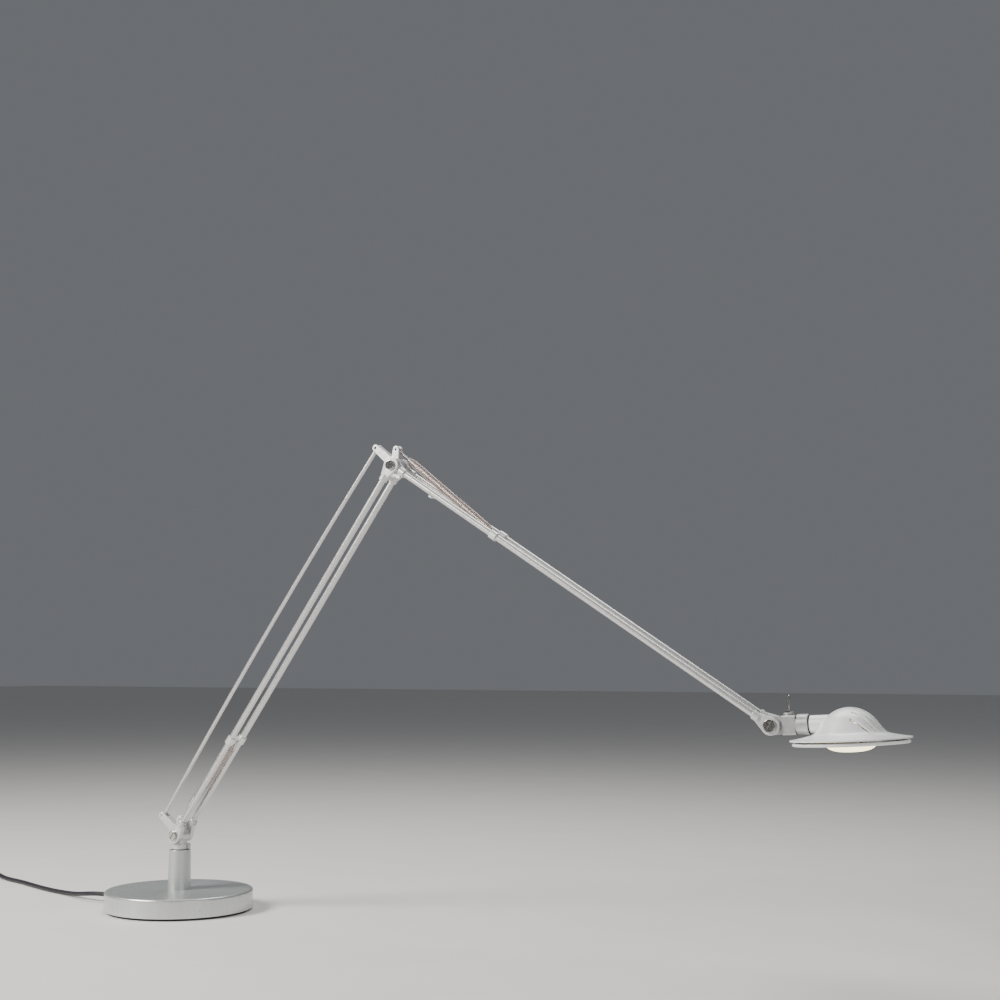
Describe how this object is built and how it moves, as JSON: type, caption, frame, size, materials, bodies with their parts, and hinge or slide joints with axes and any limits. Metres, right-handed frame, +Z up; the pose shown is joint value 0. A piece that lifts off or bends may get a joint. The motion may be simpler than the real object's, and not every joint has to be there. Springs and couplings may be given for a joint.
{
  "type": "desk lamp",
  "caption": "Swing arm desk lamp: round weighted base, swivelling spring-balanced twin-tube arms, tilting and rolling disc head, toggle switch, coiled mains lead.",
  "frame": {"origin": "centre of the round foot ring's underside, on the surface the lamp stands on", "axes": "+X from the base towards the lamp head, along the arms; +Y across the arms, to the left seen from behind the base; +Z up"},
  "size_m": [1.2995, 0.2067, 0.5125],
  "materials": {
    "silver_paint": "satin silver paint",
    "silver_casting": "satin silver paint on die-cast metal",
    "arm_tube": "satin drawn tube",
    "chrome": "bright",
    "steel": "zinc plated",
    "spring_steel": "dull plated wire",
    "cast_iron": "rough cast",
    "rubber_foot": "matt",
    "cord_jacket": "smooth flexible jacket",
    "black_plastic": "moulded",
    "holder_white": "fired white",
    "plug_metal": "plated",
    "bowl_mirror": "bright anodised",
    "lens": "frosted, lit",
    "bulb": "clear quartz"
  },
  "bodies": {
    "base": {"base_shell": "silver_paint", "foot_pad": "rubber_foot", "base_plate": "steel", "ballast_disc": "cast_iron", "plate_screws": "steel", "transformer_block": "cast_iron", "post": "silver_casting", "post_nut": "steel", "swivel_bush": "black_plastic", "swivel_stop_pin": "chrome", "cord_gland": "black_plastic", "strain_relief": "cord_jacket", "power_cord": "cord_jacket", "cord_tail": "cord_jacket", "cord_coil": "cord_jacket", "mains_plug": "black_plastic", "plug_pins": "plug_metal"},
    "turret": {"turret_casting": "silver_casting", "stem_clip": "steel", "turret_pins": "chrome"},
    "lower_arm": {"lower_arm_foot": "silver_casting", "lower_arm_head": "silver_casting", "lower_tube_near": "arm_tube", "lower_tube_far": "arm_tube", "lower_grub_screws": "chrome", "lower_arm_axles": "chrome", "lower_arm_screws": "chrome", "lower_arm_washers": "steel", "lower_spring_bridge": "silver_casting", "lower_spring": "spring_steel"},
    "tie_rod": {"tie_rod": "arm_tube"},
    "elbow": {"elbow_bracket": "silver_casting", "elbow_pins": "chrome"},
    "upper_arm": {"upper_arm_root": "silver_casting", "upper_arm_tip": "silver_casting", "upper_tube_near": "arm_tube", "upper_tube_far": "arm_tube", "upper_grub_screws": "chrome", "wrist_axle": "chrome", "wrist_screws": "chrome", "wrist_washers": "steel", "upper_tube_tie": "silver_casting", "upper_spring_bridge": "silver_casting", "upper_spring": "spring_steel"},
    "wrist": {"wrist_block": "silver_casting", "neck_bush": "black_plastic", "switch_module": "black_plastic", "switch_nut": "chrome"},
    "switch": {"switch_lever": "black_plastic"},
    "head": {"neck_spigot": "silver_casting", "spigot_clip": "steel", "head_shell": "silver_paint", "reflector_disc": "silver_paint", "disc_spacers": "arm_tube", "front_lens": "lens", "reflector_bowl": "bowl_mirror", "lamp_holder": "holder_white", "halogen_bulb": "bulb"}
  },
  "joints": [
    {"name": "swivel", "type": "hinge", "parent": "base", "child": "turret", "pos_m": [0, 0, 0.044], "axis": [0, 0, 1], "range_deg": [-103, 217]},
    {"name": "lower_arm_pivot", "type": "hinge", "parent": "turret", "child": "lower_arm", "pos_m": [0, 0, 0.0835], "axis": [0, -1, 0], "range_deg": [-15, 30], "deforming": ["lower_spring"]},
    {"name": "tie_rod_pivot", "type": "hinge", "parent": "turret", "child": "tie_rod", "pos_m": [-0.0245, 0, 0.1041], "axis": [0, -1, 0], "range_deg": [-16, 31]},
    {"name": "elbow_levelling", "type": "hinge", "parent": "lower_arm", "child": "elbow", "pos_m": [0.28533, 0, 0.48799], "axis": [0, -1, 0], "range_deg": [-31, 16]},
    {"name": "upper_arm_pivot", "type": "hinge", "parent": "elbow", "child": "upper_arm", "pos_m": [0.28533, 0, 0.48799], "axis": [0, -1, 0], "range_deg": [-12, 55], "deforming": ["upper_spring"]},
    {"name": "head_tilt", "type": "hinge", "parent": "upper_arm", "child": "wrist", "pos_m": [0.70118, 0, 0.21948], "axis": [0, 1, 0], "range_deg": [-60, 75]},
    {"name": "head_roll", "type": "hinge", "parent": "wrist", "child": "head", "pos_m": [0.70118, 0, 0.21948], "axis": [0.9987, 0, 0.0506], "range_deg": [-120, 120]},
    {"name": "switch_toggle", "type": "hinge", "parent": "wrist", "child": "switch", "pos_m": [0.71568, 0, 0.22972], "axis": [0, 1, 0], "range_deg": [-12, 12]}
  ],
  "couplings": [
    {"joint": "tie_rod_pivot", "follows": "lower_arm_pivot", "ratio": 1},
    {"joint": "elbow_levelling", "follows": "lower_arm_pivot", "ratio": -1}
  ]
}
